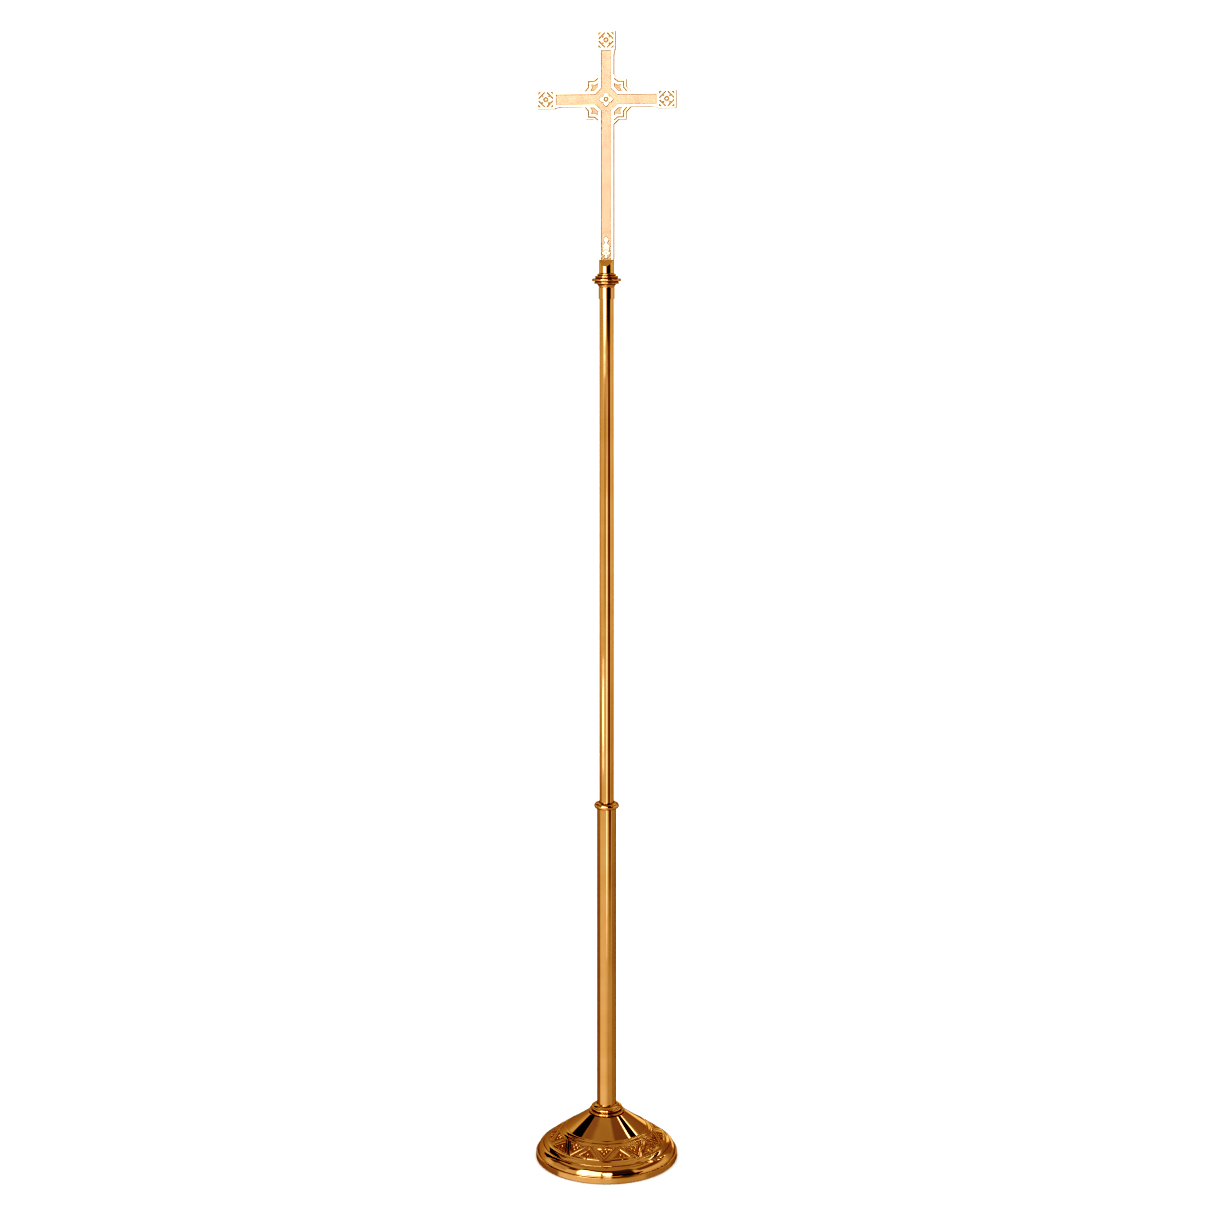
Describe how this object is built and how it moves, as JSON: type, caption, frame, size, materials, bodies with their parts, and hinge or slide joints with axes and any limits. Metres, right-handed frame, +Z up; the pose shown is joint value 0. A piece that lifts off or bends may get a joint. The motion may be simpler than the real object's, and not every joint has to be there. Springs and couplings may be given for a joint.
{
  "type": "processional cross",
  "caption": "Tall brass processional cross: a cast cross on a plain staff with a ringed knop, standing in a sleeve on a round weighted base with a band of raised triangles.",
  "frame": {"origin": "middle of the underside of the base", "axes": "+Z up along the staff; the arms of the cross lie along X and its front faces -Y"},
  "size_m": [0.28, 0.28, 2.2308],
  "materials": {
    "polished_brass": "polished and lacquered",
    "cast_brass": "cast, recesses stippled, edges polished and lacquered",
    "turned_brass": "plain turned",
    "zinc_steel": "zinc plated",
    "cast_iron": "rough cast, painted black",
    "rubber": "matt",
    "nylon": "natural white",
    "felt": "pressed wool felt"
  },
  "bodies": {
    "stand": {"base_felt": "felt", "base_plate": "zinc_steel", "base_plate_screws": "zinc_steel", "base_weight": "cast_iron", "base_rim": "polished_brass", "base_band": "cast_brass", "base_cone": "polished_brass", "foot_collar": "polished_brass", "tie_rod": "zinc_steel", "tie_nut": "zinc_steel", "lock_washer": "zinc_steel", "sleeve_bottom_plug": "zinc_steel", "sleeve_tube": "polished_brass", "staff_rest_pad": "rubber", "sleeve_collar": "polished_brass"},
    "liner": {"sleeve_liner": "nylon"},
    "staff": {"staff_tube": "polished_brass", "staff_foot_plug": "turned_brass", "staff_foot_cushion": "rubber", "staff_foot_screw": "zinc_steel", "staff_top_plug": "turned_brass", "staff_ferrule": "polished_brass"},
    "knop": {"knop": "polished_brass", "knop_washer": "nylon"},
    "cross_head": {"cross_socket": "polished_brass", "cross_stud": "turned_brass", "cross_pin": "turned_brass", "cross_casting": "cast_brass"}
  },
  "joints": [
    {"name": "staff_turn", "type": "hinge", "parent": "stand", "child": "liner", "pos_m": [0, 0, 0.4], "axis": [0, 0, 1], "continuous": true},
    {"name": "staff_lift", "type": "slide", "parent": "liner", "child": "staff", "axis": [0, 0, 1], "range_m": [0, 0.6]},
    {"name": "head_unscrew", "type": "hinge", "parent": "staff", "child": "knop", "pos_m": [0, 0, 1.736], "axis": [0, 0, 1], "range_deg": [0, 4320]},
    {"name": "head_rise", "type": "slide", "parent": "knop", "child": "cross_head", "axis": [0, 0, 1], "range_m": [0, 0.02345]}
  ],
  "couplings": [
    {"joint": "head_rise", "follows": "head_unscrew", "m_per_rad": 0.00031096}
  ]
}
